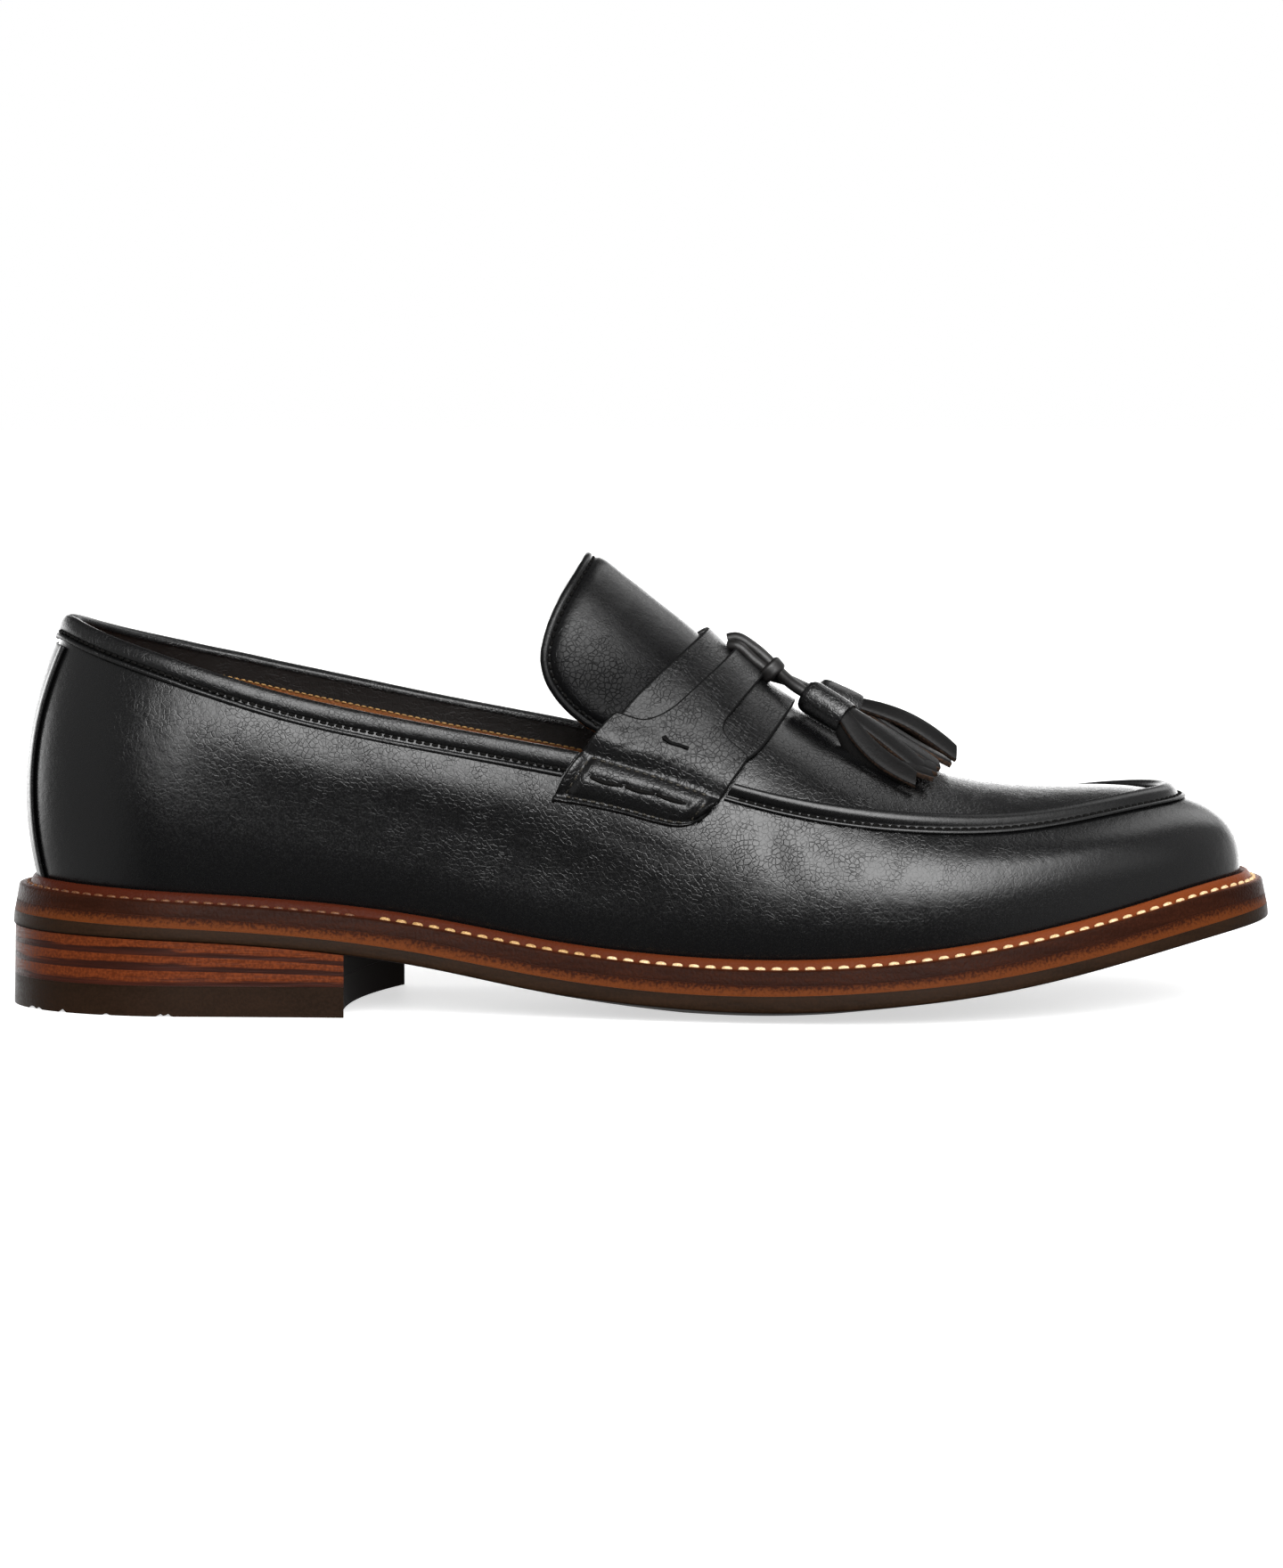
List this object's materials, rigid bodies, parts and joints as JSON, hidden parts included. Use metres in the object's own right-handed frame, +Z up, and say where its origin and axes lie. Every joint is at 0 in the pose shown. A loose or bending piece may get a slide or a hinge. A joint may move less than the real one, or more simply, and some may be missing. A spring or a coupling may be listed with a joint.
{
  "type": "slip-on shoe",
  "caption": "Right-foot slip-on leather shoe with a welted stacked sole, apron toe, strap over the instep and hanging tassels.",
  "frame": {"origin": "on the floor, under the middle of the sole's length and width", "axes": "+X along the foot to the toe, +Y to the inner side of the foot, +Z up"},
  "size_m": [0.306, 0.1071, 0.1099],
  "materials": {
    "black_leather": "semi-gloss black calf leather with fine creases",
    "welt_dark": "burnished dark brown leather edge with a tan bead",
    "midsole_brown": "brown speckled leather edge",
    "outsole_black": "matt brown-black sole",
    "heel_stack": "burnished leather lifts in orange and dark brown stripes",
    "top_lift_rubber": "matt dark rubber",
    "insole_leather": "brown lining leather"
  },
  "bodies": {
    "root": {"outsole": "outsole_black", "midsole": "midsole_brown", "welt": "welt_dark", "heel_lift_1": "heel_stack", "heel_lift_2": "heel_stack", "heel_lift_3": "heel_stack", "top_lift": "top_lift_rubber", "insole": "insole_leather", "upper": "black_leather", "tongue": "black_leather", "apron_rim": "black_leather", "collar_binding": "black_leather", "backstay": "black_leather", "under_strap": "black_leather", "over_strap": "black_leather", "lace": "black_leather", "tassel_near": "black_leather", "tassel_far": "black_leather"}
  },
  "joints": []
}
